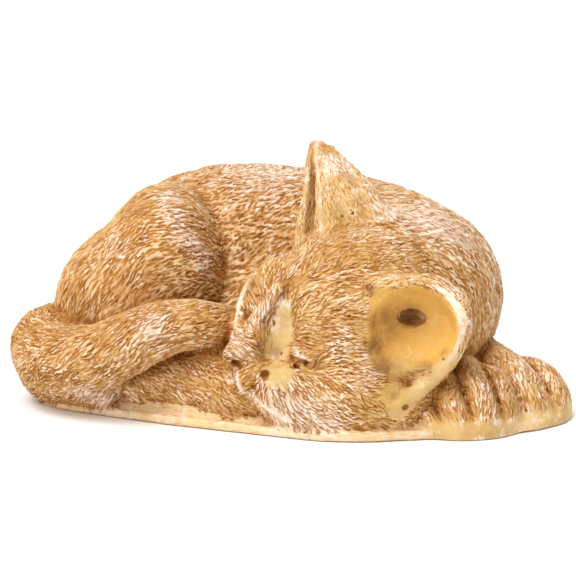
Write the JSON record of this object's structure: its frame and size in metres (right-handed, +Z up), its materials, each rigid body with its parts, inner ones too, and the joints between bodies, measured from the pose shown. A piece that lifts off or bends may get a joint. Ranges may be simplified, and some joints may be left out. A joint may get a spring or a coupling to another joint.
{
  "type": "cat figurine",
  "caption": "Free-standing figurine of a curled sleeping cat with carved fur, cast in pieces luted onto a thin base slab.",
  "frame": {"origin": "middle of the resting face, under the centre of the figurine's bounding box", "axes": "+X from the rump to the forepaws, +Y from the face to the spine, +Z up"},
  "size_m": [0.15, 0.0938, 0.072],
  "materials": {
    "slab_clay": "smooth unglazed clay, pale tan",
    "russet_coat": "carved fur, brown wash in the strokes, dry-brushed white on the ridges",
    "ochre_coat": "carved fur, brown wash in the strokes, dry-brushed white on the ridges",
    "golden_ear": "smooth golden ochre, satin"
  },
  "bodies": {
    "root": {"base_slab": "slab_clay", "body": "russet_coat", "right_haunch": "russet_coat", "right_hind_foot": "ochre_coat", "tail": "ochre_coat", "head": "ochre_coat", "right_ear": "ochre_coat", "left_ear": "golden_ear", "right_forepaw": "ochre_coat", "left_forepaw": "ochre_coat"}
  },
  "joints": []
}
